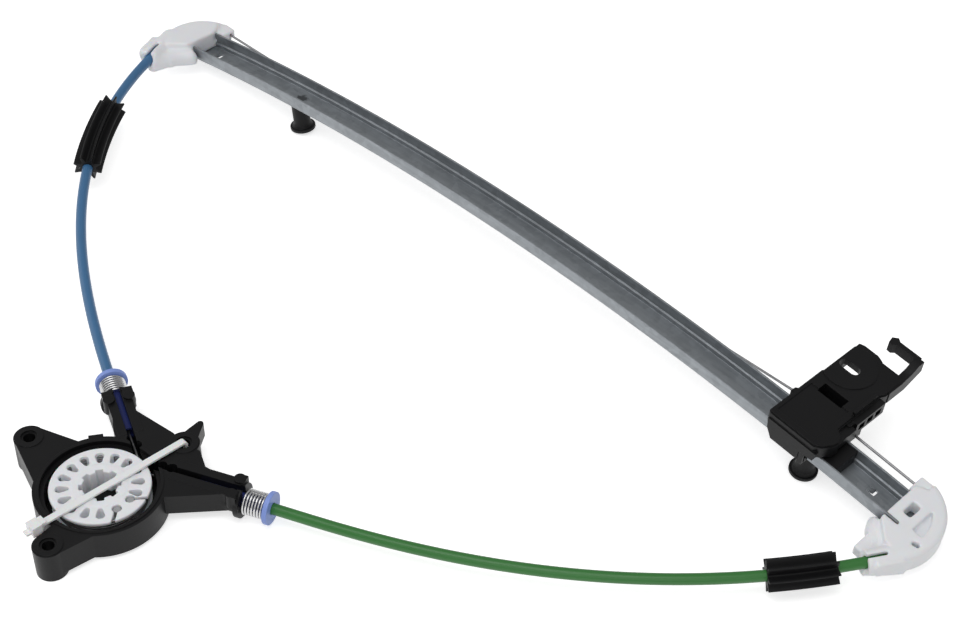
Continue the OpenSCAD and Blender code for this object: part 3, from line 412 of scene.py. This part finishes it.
class Side:
    """One side's route: from the drum through socket, conduit and deflector to the rail."""

    def __init__(self, name, socket_turn, reach, last_turn, rail_end, turn_r, heading, mouth_len,
                 cross_tilt, pulls, chord, pad_mid, pad_len):
        self.name, self.reach = name, reach
        self.sign = 1 if name == UPPER else -1
        self.leave_z = FIRST_TURN + TURN_PITCH * last_turn
        angle = math.radians(socket_turn)
        self.along = Vector((math.cos(angle), math.sin(angle), 0))
        self.outward = self.sign * Vector((math.sin(angle), -math.cos(angle), 0))
        self.turn_r, self.heading = turn_r, math.radians(heading)
        exit_angle = -self.sign * math.asin(rail_end / (RAIL_R + CABLE_H))
        nipple = carrier_angle - self.sign * math.asin(NIPPLE_OFF / RAIL_R)
        strand_end = nipple - self.sign * math.asin((NIPPLE_HALF + NIPPLE_GAP) / RAIL_R)
        self.leaves = on_arc(exit_angle, CABLE_H, cable_y)
        self.strand = on_arc(strand_end, CABLE_H, cable_y)
        self.tilt = (Matrix.Rotation((exit_angle + nipple) / 2, 3, "Y")
                     @ Matrix.Rotation(math.radians(cross_tilt), 3, "X"))
        self.start = self.socket(reach + SPRING_LEN + DISC_T, SOCKET_Z)
        self.into = self.seated(math.cos(self.heading), math.sin(self.heading))
        self.end = self.bend(self.heading) - mouth_len * self.into
        scale = (self.end - self.start).length / chord
        self.pulls = [pull * scale for pull in pulls]
        self.pad_mid, self.pad_len = pad_mid, pad_len

    def socket(self, t, z):
        """A point at t along the straight line on which the cable leaves the drum."""
        return self.outward * WIND_R + self.along * t + Vector((0, 0, z))

    def seated(self, x, y):
        """A direction in the deflector's plane: x along the cable that leaves it, y away from the drum."""
        return self.tilt @ Vector((self.sign * x, y, 0))

    def bend(self, turned):
        """A point of the cable's bend in the deflector, by how far the cable still has to turn."""
        back = -self.turn_r * math.sin(turned)
        aside = self.turn_r * (math.cos(turned) - 1)
        return self.leaves + self.seated(back, aside)

    def at(self, s):
        """A point of the conduit, with s from 0 at the drum's end to 1 at the deflector."""
        return ((2 * s**3 - 3 * s**2 + 1) * self.start + (s**3 - 2 * s**2 + s) * self.pulls[0] * self.along
                + (3 * s**2 - 2 * s**3) * self.end + (s**3 - s**2) * self.pulls[1] * self.into)

    def conduit(self):
        """The conduit's centreline, with the straight length that sits in each end."""
        head = [self.start - SEAT * (1 - k / SEAT_STEPS) * self.along for k in range(SEAT_STEPS)]
        tail = [self.end + SEAT * (k + 1) / SEAT_STEPS * self.into for k in range(SEAT_STEPS)]
        return head + [self.at(k / ROUTE_STEPS) for k in range(ROUTE_STEPS + 1)] + tail

    def cable(self):
        """The cable's path from the drum to where it leaves the deflector."""
        clear = math.sqrt((WIND_R + 2 * CABLE_R + TURN_GAP)**2 - WIND_R**2)
        start = [self.socket(clear, self.leave_z),
                 self.socket(self.reach - STEM_LEN + STEM_MOUTH, SOCKET_Z)]
        bend = [self.bend(self.heading * (1 - k / BEND_STEPS)) for k in range(BEND_STEPS + 1)]
        return start + self.conduit() + bend


SIDES = [
    Side(UPPER, socket_turn=156.2, reach=64, last_turn=TURN_COUNT - 1, rail_end=RAIL_UP - UPPER_INSET,
         turn_r=22, heading=113.3, mouth_len=26, cross_tilt=-3.5, pulls=(297.5, 326.4), chord=280,
         pad_mid=204, pad_len=59),
    Side(LOWER, socket_turn=25.2, reach=69, last_turn=0, rail_end=RAIL_LOW - LOWER_INSET,
         turn_r=24, heading=120.7, mouth_len=20, cross_tilt=5.6, pulls=(126.9, 433.3), chord=295.5,
         pad_mid=267.8, pad_len=35),
]

# Making pieces

MERGE_GAP_M = 3e-6
FLAT_WITHIN, SHARP_FROM = math.radians(1), math.radians(35)


def piece(name, mesh, node):
    """Puts a mesh in the scene as the look of a CAD node, in the node's finish."""
    thing = bpy.data.objects.new(name, mesh)
    bpy.context.scene.collection.objects.link(thing)
    mesh.materials.clear()
    mesh.materials.append(FINISH[slot_of[node]])
    return thing


def settled(thing):
    """Turns what a piece's modifiers make into its plain mesh."""
    view = bpy.context.evaluated_depsgraph_get()
    mesh = bpy.data.meshes.new_from_object(thing.evaluated_get(view), depsgraph=view)
    thing.modifiers.clear()
    thing.data = mesh
    return thing


def stands_for(thing, node, rides=True):
    """Puts a piece in a CAD node's place. It rides on the node's body, unless rides is false."""
    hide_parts(node)
    if rides:
        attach(thing, body_of[node])
    return thing


def merged(node):
    """A copy of a CAD node's mesh, merged, with its flat faces joined."""
    mesh = frame["nodes"][node].data.copy()
    work = bmesh.new()
    work.from_mesh(mesh)
    bmesh.ops.remove_doubles(work, verts=work.verts, dist=MERGE_GAP_M)
    bmesh.ops.dissolve_limit(work, angle_limit=FLAT_WITHIN, verts=work.verts, edges=work.edges)
    work.to_mesh(mesh)
    work.free()
    return mesh


def shaded_evenly(thing):
    """Shades a piece by its large faces, which stay flat beside the small ones."""
    even = thing.modifiers.new("even_shading", "WEIGHTED_NORMAL")
    even.keep_sharp = True
    return even


def rounded(node, width):
    """A CAD node's look with its sharp edges rounded."""
    thing = piece("rounded_" + node, merged(node), node)
    thing.data.shade_smooth()
    bevel = thing.modifiers.new("rounded_edges", "BEVEL")
    bevel.width = width * MM
    bevel.segments = 2
    bevel.limit_method = "ANGLE"
    bevel.angle_limit = SHARP_FROM
    shaded_evenly(thing).weight = 60
    return stands_for(settled(thing), node)


def moulded(node, cell, rounds, share):
    """A CAD node's look as one soft moulding, with every corner and step blended."""
    thing = piece("moulded_" + node, merged(node), node)
    skin = thing.modifiers.new("one_skin", "REMESH")
    skin.mode = "VOXEL"
    skin.voxel_size = cell * MM
    skin.use_smooth_shade = True
    blend = thing.modifiers.new("blended_corners", "SMOOTH")
    blend.factor = 0.5
    blend.iterations = rounds
    thin = thing.modifiers.new("fewer_faces", "DECIMATE")
    thin.ratio = share
    settled(thing)
    thing.data.materials.clear()
    thing.data.materials.append(FINISH[slot_of[node]])
    return stands_for(thing, node)


# Node trees for rods, laid cable and coils


def geometry_tree(name, inputs):
    """A Geometry Nodes tree with named inputs, of which the first is the line that it may follow."""
    tree = bpy.data.node_groups.new(name, "GeometryNodeTree")
    tree.interface.new_socket("Line", in_out="INPUT", socket_type="NodeSocketGeometry")
    for label, kind, value in inputs:
        socket = tree.interface.new_socket(label, in_out="INPUT", socket_type=kind)
        socket.default_value = value
    tree.interface.new_socket("Finish", in_out="INPUT", socket_type="NodeSocketMaterial")
    tree.interface.new_socket("Piece", in_out="OUTPUT", socket_type="NodeSocketGeometry")
    return tree, tree.nodes.new("NodeGroupInput").outputs


def close_tree(tree, given, line, section, caps):
    """Ends a tree: carries the section along the line, and gives the result its shading and finish."""
    swept = made(tree, "GeometryNodeCurveToMesh", Curve=line, Profile_Curve=section, Fill_Caps=caps)
    smooth = made(tree, "GeometryNodeSetShadeSmooth", Geometry=swept.outputs[0])
    real = made(tree, "GeometryNodeRealizeInstances", Geometry=smooth.outputs[0])
    paint = made(tree, "GeometryNodeSetMaterial", Geometry=real.outputs[0], Material=given["Finish"])
    made(tree, "NodeGroupOutput", Piece=paint.outputs[0])
    return tree


def round_rod():
    """A round rod or an open tube along a line."""
    tree, given = geometry_tree("round_rod", [("Radius", "NodeSocketFloat", 0.001),
                                              ("Sides", "NodeSocketInt", 24),
                                              ("Capped", "NodeSocketBool", True)])
    line = made(tree, "GeometryNodeMeshToCurve", Mesh=given["Line"])
    ring = made(tree, "GeometryNodeCurvePrimitiveCircle", Resolution=given["Sides"], Radius=given["Radius"])
    return close_tree(tree, given, line.outputs[0], ring.outputs[0], given["Capped"])


def laid_cable():
    """A steel cable of laid wires along a line: a lobed section that turns as it goes."""
    tree, given = geometry_tree("laid_cable", [("Radius", "NodeSocketFloat", 0.00075),
                                               ("Wires", "NodeSocketInt", 7),
                                               ("Lay Length", "NodeSocketFloat", 0.009),
                                               ("Step", "NodeSocketFloat", 0.001)])
    line = made(tree, "GeometryNodeMeshToCurve", Mesh=given["Line"]).outputs[0]
    even = made(tree, "GeometryNodeResampleCurve", Curve=line, Length=given["Step"], mode="LENGTH")
    run = made(tree, "GeometryNodeSplineParameter")
    lays = calculated(tree, "DIVIDE", run.outputs["Length"], given["Lay Length"])
    turned = made(tree, "GeometryNodeSetCurveTilt", Curve=even.outputs[0],
                  Tilt=calculated(tree, "MULTIPLY", lays, 2 * math.pi))
    lobes = made(tree, "GeometryNodeCurveStar", Points=given["Wires"], Outer_Radius=given["Radius"],
                 Inner_Radius=calculated(tree, "MULTIPLY", given["Radius"], 0.8))
    return close_tree(tree, given, turned.outputs[0], lobes.outputs[0], True)


def wound_coil():
    """A coil of round wire about its own z axis, from z 0 upwards. It follows no line."""
    tree, given = geometry_tree("wound_coil", [("Turns", "NodeSocketFloat", 7),
                                               ("Radius", "NodeSocketFloat", 0.006),
                                               ("Rise", "NodeSocketFloat", 0.012),
                                               ("Wire", "NodeSocketFloat", 0.0006),
                                               ("Steps", "NodeSocketInt", 40)])
    spiral = made(tree, "GeometryNodeCurveSpiral", Resolution=given["Steps"], Rotations=given["Turns"],
                  Start_Radius=given["Radius"], End_Radius=given["Radius"], Height=given["Rise"])
    ring = made(tree, "GeometryNodeCurvePrimitiveCircle", Resolution=10, Radius=given["Wire"])
    return close_tree(tree, given, spiral.outputs[0], ring.outputs[0], True)


ROD, CABLE, COIL = round_rod(), laid_cable(), wound_coil()


def line_mesh(name, points, closed=False):
    """A mesh of edges from point to point."""
    mesh = bpy.data.meshes.new(name)
    edges = [(k, k + 1) for k in range(len(points) - 1)]
    if closed:
        edges.append((len(points) - 1, 0))
    mesh.from_pydata(points, edges, [])
    return mesh


def grown(name, tree, points, node, closed=False, **values):
    """A piece that a node tree makes along a line."""
    thing = piece(name, line_mesh(name, points, closed), node)
    maker = thing.modifiers.new("maker", "NODES")
    maker.node_group = tree
    given = {item.name: item.identifier for item in tree.interface.items_tree if item.in_out == "INPUT"}
    maker[given["Finish"]] = FINISH[slot_of[node]]
    for label, value in values.items():
        maker[given[label]] = value
    return settled(thing)


def walled(thing, thickness):
    """Gives an open tube its wall, inwards."""
    wall = thing.modifiers.new("wall", "SOLIDIFY")
    wall.thickness = thickness * MM
    wall.offset = -1
    return settled(thing)


# Conduits, liners, cables and springs

# Share of a conduit, from the drum, meant to give as its ferrule slides; the point found there is not used
GIVES_WITHIN = 0.28
RING_STEPS = 90


def add_tube(name, side, node, route, radius, sides, wall):
    """A tube along a conduit's route."""
    tube = grown(name, ROD, route, node, Radius=radius * MM, Sides=sides, Capped=False)
    stands_for(walled(tube, wall), node, rides=False)
    from_drum(*side.at(GIVES_WITHIN))
    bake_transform(tube)
    return tube


def add_conduit(side):
    """A conduit and the liner inside it."""
    route = to_scene(side.conduit())
    jacket = add_tube("jacket_" + side.name, side, side.name + "_conduit", route,
                      radius=CONDUIT_R, sides=28, wall=CONDUIT_R - CONDUIT_IN)
    add_tube("lining_" + side.name, side, side.name + "_liner", route,
             radius=LINER_R, sides=16, wall=LINER_WALL)


def add_cable(side):
    """The cable from the drum through its deflector, and the bare strand from there to the carrier."""
    node = side.name + "_run_cable"
    stands_for(grown("cable_" + side.name, CABLE, to_scene(side.cable()), node), node)
    node = side.name + "_strand"
    ends = to_scene((side.leaves, side.strand))
    strand = grown("bare_cable_" + side.name, ROD, ends, node, Radius=CABLE_R * MM, Sides=16)
    stands_for(strand, node, rides=False)
    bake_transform(strand)


def add_drum_turns(node, levels):
    """One side's turns of cable on the drum, as one piece."""
    turns = []
    for level in levels:
        height = FIRST_TURN + TURN_PITCH * level
        ring = [from_drum(WIND_R * math.cos(a), WIND_R * math.sin(a), height)
                for a in (2 * math.pi * k / RING_STEPS for k in range(RING_STEPS))]
        turns.append(grown("turn_%d" % level, CABLE, ring, node, closed=True))
    whole = bmesh.new()
    for turn in turns:
        whole.from_mesh(turn.data)
        bpy.data.objects.remove(turn)
    mesh = bpy.data.meshes.new("turns_" + node)
    whole.to_mesh(mesh)
    whole.free()
    mesh.shade_smooth()
    stands_for(piece("turns_" + node, mesh, node), node)


def add_spring(side):
    """The coil spring between the housing and a ferrule's disc."""
    node = side.name + "_spring"
    rise = SPRING_LEN - 2 * (SPRING_WIRE + SPRING_GAP)
    coil = grown("coil_" + side.name, COIL, [Vector()], node, Turns=float(SPRING_TURNS),
                 Radius=SPRING_R * MM, Rise=rise * MM, Wire=SPRING_WIRE * MM)
    start = from_drum(*side.socket(side.reach + SPRING_WIRE + SPRING_GAP, SOCKET_Z))
    turn = side.along.to_track_quat("Z", "Y").to_matrix().to_4x4()
    coil.data.transform(Matrix.Translation(start) @ turn)
    stands_for(coil, node)
    seat = tuple(from_drum(*side.socket(side.reach, SOCKET_Z)))
    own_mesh(coil)


def add_ferrule(side):
    """A ferrule whose stem is painted a darker blue from the socket's mouth inwards, as painted shade from the
    socket.
    """
    sleeve = rounded(side.name + "_ferrule", 0.3)
    sleeve.data.materials.append(STEM_PAINTED_SHADE)
    mouth = from_drum(*side.socket(side.reach, SOCKET_Z))
    for face in sleeve.data.polygons:
        if (face.center - mouth).dot(side.along) < 0:
            face.material_index = len(sleeve.data.materials) - 1


# Finned pads

PAD_R, PAD_ROOT, PAD_FINS, PAD_GAP = 8.6, 4.35, 8, 0.12
PAD_RINGS, PAD_SEARCH, PAD_CREASE = 16, 400, math.radians(50)

# Half of a fin's outline, from its tip to the root beside it: degrees from its middle, and radius
HALF_FIN = [(0, PAD_R), (2.4, PAD_R - 0.05), (3.6, PAD_R - 0.35), (5.4, 7.3), (8.2, 6.1),
            (12.5, 5.15), (17.5, 4.55), (22.5, PAD_ROOT)]


def swept_mesh(name, path, outer, inner):
    """A hollow profile carried along a path, with rings of the same count outside and inside."""
    count = len(outer)
    wide = 2 * count
    points, faces = [], []
    for k, place in enumerate(path):
        ahead = (path[min(k + 1, len(path) - 1)] - path[max(k - 1, 0)]).normalized()
        across = ahead.cross(Vector((0, 0, 1))).normalized()
        up = across.cross(ahead)
        points += [place + across * x + up * y for x, y in outer + inner]
    for k in range(len(path) - 1):
        here, beyond = k * wide, (k + 1) * wide
        for j in range(count):
            n = (j + 1) % count
            faces.append((here + j, here + n, beyond + n, beyond + j))
            faces.append((here + count + n, here + count + j, beyond + count + j, beyond + count + n))
    last = (len(path) - 1) * wide
    for j in range(count):
        n = (j + 1) % count
        faces.append((n, j, count + j, count + n))
        faces.append((last + j, last + n, last + count + n, last + count + j))
    mesh = bpy.data.meshes.new(name)
    mesh.from_pydata(to_scene(points), [], faces)
    return mesh


def pad_outline():
    """The pad's section: thin fins with round roots, and the bore with as many points."""
    fin = [(-a, r) for a, r in reversed(HALF_FIN[1:])] + HALF_FIN[:-1]
    bore = CONDUIT_R + PAD_GAP
    outer, inner = [], []
    for k in range(PAD_FINS):
        for a, r in fin:
            turn = math.radians(360 / PAD_FINS * (k + 0.5) + a)
            outer.append((r * math.cos(turn), r * math.sin(turn)))
            inner.append((bore * math.cos(turn), bore * math.sin(turn)))
    return outer, inner


def pad_path(side):
    """The stretch of a conduit under its pad, found by the length along the conduit."""
    line = [side.at(k / PAD_SEARCH) for k in range(PAD_SEARCH + 1)]
    runs = [0]
    for a, b in zip(line, line[1:]):
        runs.append(runs[-1] + (b - a).length)
    path = []
    for k in range(PAD_RINGS + 1):
        want = side.pad_mid + side.pad_len * (k / PAD_RINGS - 0.5)
        at = next(i for i, run in enumerate(runs) if run >= want)
        part = (want - runs[at - 1]) / (runs[at] - runs[at - 1])
        path.append(line[at - 1].lerp(line[at], part))
    return path


def add_pad(side):
    """A rubber pad with eight thin fins along the conduit."""
    node = side.name + "_pad"
    mesh = swept_mesh("fins_" + side.name, pad_path(side), *pad_outline())
    mesh.shade_smooth()
    mesh.set_sharp_from_angle(angle=PAD_CREASE)
    stands_for(piece("finned_" + node, mesh, node), node)


for side in SIDES:
    add_conduit(side)
    add_cable(side)
    add_spring(side)
    add_pad(side)
add_drum_turns("lower_drum_turns", (0, 1))
add_drum_turns("upper_drum_turns", (2, 3, 4))

# The rolled rail

RAIL_RINGS, RAIL_CREASE = 110, math.radians(40)
# Two rings of the rail lie at least this far apart, in radians
RING_GAP = 0.0006
# Radii of the section's corners: the web's outer bend, the step's outer and inner bends, and cut edges
WEB_BEND, STEP_BEND, INNER_BEND, EDGE_ROUND = 1.3, 0.85, 0.25, 0.3
# Each tab's tongue: its slope in degrees from ring to ring, the step between rings, how far its root
# starts outside the window, how far it lies in from the window's edges, and how much it is thinned
TONGUE_SLOPES = (0, 8, 16, 24, 27, 27)
TONGUE_STEP, TONGUE_ROOT, TONGUE_INSET, TONGUE_THINNED = 0.92, 0.25, 0.55, 0.15


def on_rail(angle, across, height):
    """A point of the rail: across it from its middle, and above the underside of its web."""
    return on_arc(angle, height, RAIL_Y + across)


def bent_outline(corners, steps=4):
    """An outline whose corners are bends: each corner is (x, y, radius)."""
    outline = []
    for k, (x, y, radius) in enumerate(corners):
        here = Vector((x, y))
        if not radius:
            outline.append(here)
            continue
        to_last = (Vector(corners[k - 1][:2]) - here).normalized()
        to_next = (Vector(corners[(k + 1) % len(corners)][:2]) - here).normalized()
        centre = here + (to_last + to_next) * radius
        first, last = here + to_last * radius - centre, here + to_next * radius - centre
        turn = first.angle_signed(last)
        for step in range(steps + 1):
            outline.append(centre + Matrix.Rotation(-turn * step / steps, 2) @ first)
    return outline


def rail_outline():
    """The rail's section: web, stepped flanges and the two edges of each tab's window."""
    web = WEB_W / 2
    flange = [(web, 0, WEB_BEND), (web, LEDGE - GAUGE, INNER_BEND), (rail_half, LEDGE - GAUGE, STEP_BEND),
              (rail_half, DEPTH, EDGE_ROUND), (web, DEPTH, EDGE_ROUND), (web, LEDGE, INNER_BEND),
              (web - GAUGE, LEDGE, STEP_BEND), (web - GAUGE, GAUGE, EDGE_ROUND)]
    far_flange = [(-x, y, radius) for x, y, radius in reversed(flange)]
    web_top = [(TAB_TO, GAUGE, 0), (TAB_FROM, GAUGE, 0)]
    web_under = [(TAB_FROM, 0, 0), (TAB_TO, 0, 0)]
    return bent_outline(flange + web_top + far_flange + web_under)


def add_tongue(work, tab_angle):
    """A tongue that is cut from the web on three sides and bent up."""
    along, height, rings = -TAB_LEN / 2 - TONGUE_ROOT, GAUGE / 2, []
    half = (GAUGE - TONGUE_THINNED) / 2
    low, high = TAB_FROM + TONGUE_INSET, TAB_TO - TONGUE_INSET
    for slope in TONGUE_SLOPES:
        rise = math.radians(slope)
        angle = tab_angle + math.asin(along / RAIL_R)
        ring = []
        for across, face in ((low, 1), (low, -1), (high, -1), (high, 1)):
            shift = math.asin(-face * half * math.sin(rise) / RAIL_R)
            place = on_rail(angle + shift, across, height + face * half * math.cos(rise))
            ring.append(work.verts.new(from_drum(*place)))
        rings.append(ring)
        along += TONGUE_STEP * math.cos(rise)
        height += TONGUE_STEP * math.sin(rise)
    for first, second in zip(rings, rings[1:]):
        for k in range(4):
            work.faces.new((first[k], first[(k + 1) % 4], second[(k + 1) % 4], second[k]))
    work.faces.new(rings[0])
    work.faces.new(list(reversed(rings[-1])))


def add_rail():
    """The rail, rolled round its arc, with a window and a bent tongue near each end."""
    outline = rail_outline()
    count = len(outline)
    window = [next(k for k, point in enumerate(outline) if (point - Vector(corner)).length < 1e-6)
              for corner in ((TAB_TO, GAUGE), (TAB_FROM, GAUGE), (TAB_FROM, 0), (TAB_TO, 0))]
    top_a, top_b, under_a, under_b = window
    half = math.asin(TAB_LEN / 2 / RAIL_R)
    edges = [tab_angle + way * half for tab_angle in tab_angles for way in (-1, 1)]
    even = [up_angle + (low_angle - up_angle) * k / RAIL_RINGS for k in range(RAIL_RINGS + 1)]
    angles = sorted([a for a in even if min(abs(a - edge) for edge in edges) > RING_GAP] + edges)

    def open_here(k):
        middle = (angles[k] + angles[k + 1]) / 2
        return any(abs(middle - tab_angle) < half for tab_angle in tab_angles)

    work = bmesh.new()
    rings = [[work.verts.new(from_drum(*on_rail(angle, p.x, p.y))) for p in outline] for angle in angles]
    for k, (first, second) in enumerate(zip(rings, rings[1:])):
        for j in range(count):
            n = (j + 1) % count
            if open_here(k) and (j, n) in ((top_a, top_b), (under_a, under_b)):
                continue
            work.faces.new((first[j], second[j], second[n], first[n]))
        if open_here(k):
            work.faces.new((first[top_a], second[top_a], second[under_b], first[under_b]))
            work.faces.new((first[under_a], second[under_a], second[top_b], first[top_b]))
            for end, beside in ((k, k - 1), (k + 1, k + 1)):
                if not open_here(beside):
                    work.faces.new([rings[end][j] for j in window])
    work.faces.new(rings[0])
    work.faces.new(list(reversed(rings[-1])))
    bmesh.ops.recalc_face_normals(work, faces=work.faces)
    for tab_angle in tab_angles:
        add_tongue(work, tab_angle)
    bmesh.ops.recalc_face_normals(work, faces=work.faces)
    mesh = bpy.data.meshes.new("rolled_rail")
    work.to_mesh(mesh)
    work.free()
    mesh.shade_smooth()
    mesh.set_sharp_from_angle(angle=RAIL_CREASE)
    rail = piece("rolled_rail", mesh, "guide_rail")
    shaded_evenly(rail)
    stands_for(settled(rail), "guide_rail")


# Mouldings and the rail. Rounded pieces are given with the width of their rounded edges

moulded("upper_deflector", cell=0.6, rounds=45, share=0.6)
moulded("lower_deflector", cell=0.5, rounds=18, share=0.6)
moulded("cable_drum", cell=0.36, rounds=3, share=0.5)
add_rail()
rounded("drum_housing", 0.35)
rounded("slider_body", 0.45)
rounded("guide_shoe", 0.3)
rounded("retaining_clip", 0.4)
rounded("transport_tie", 0.3)
for side in SIDES:
    add_ferrule(side)
    rounded(side.name + "_grommet", 0.4)
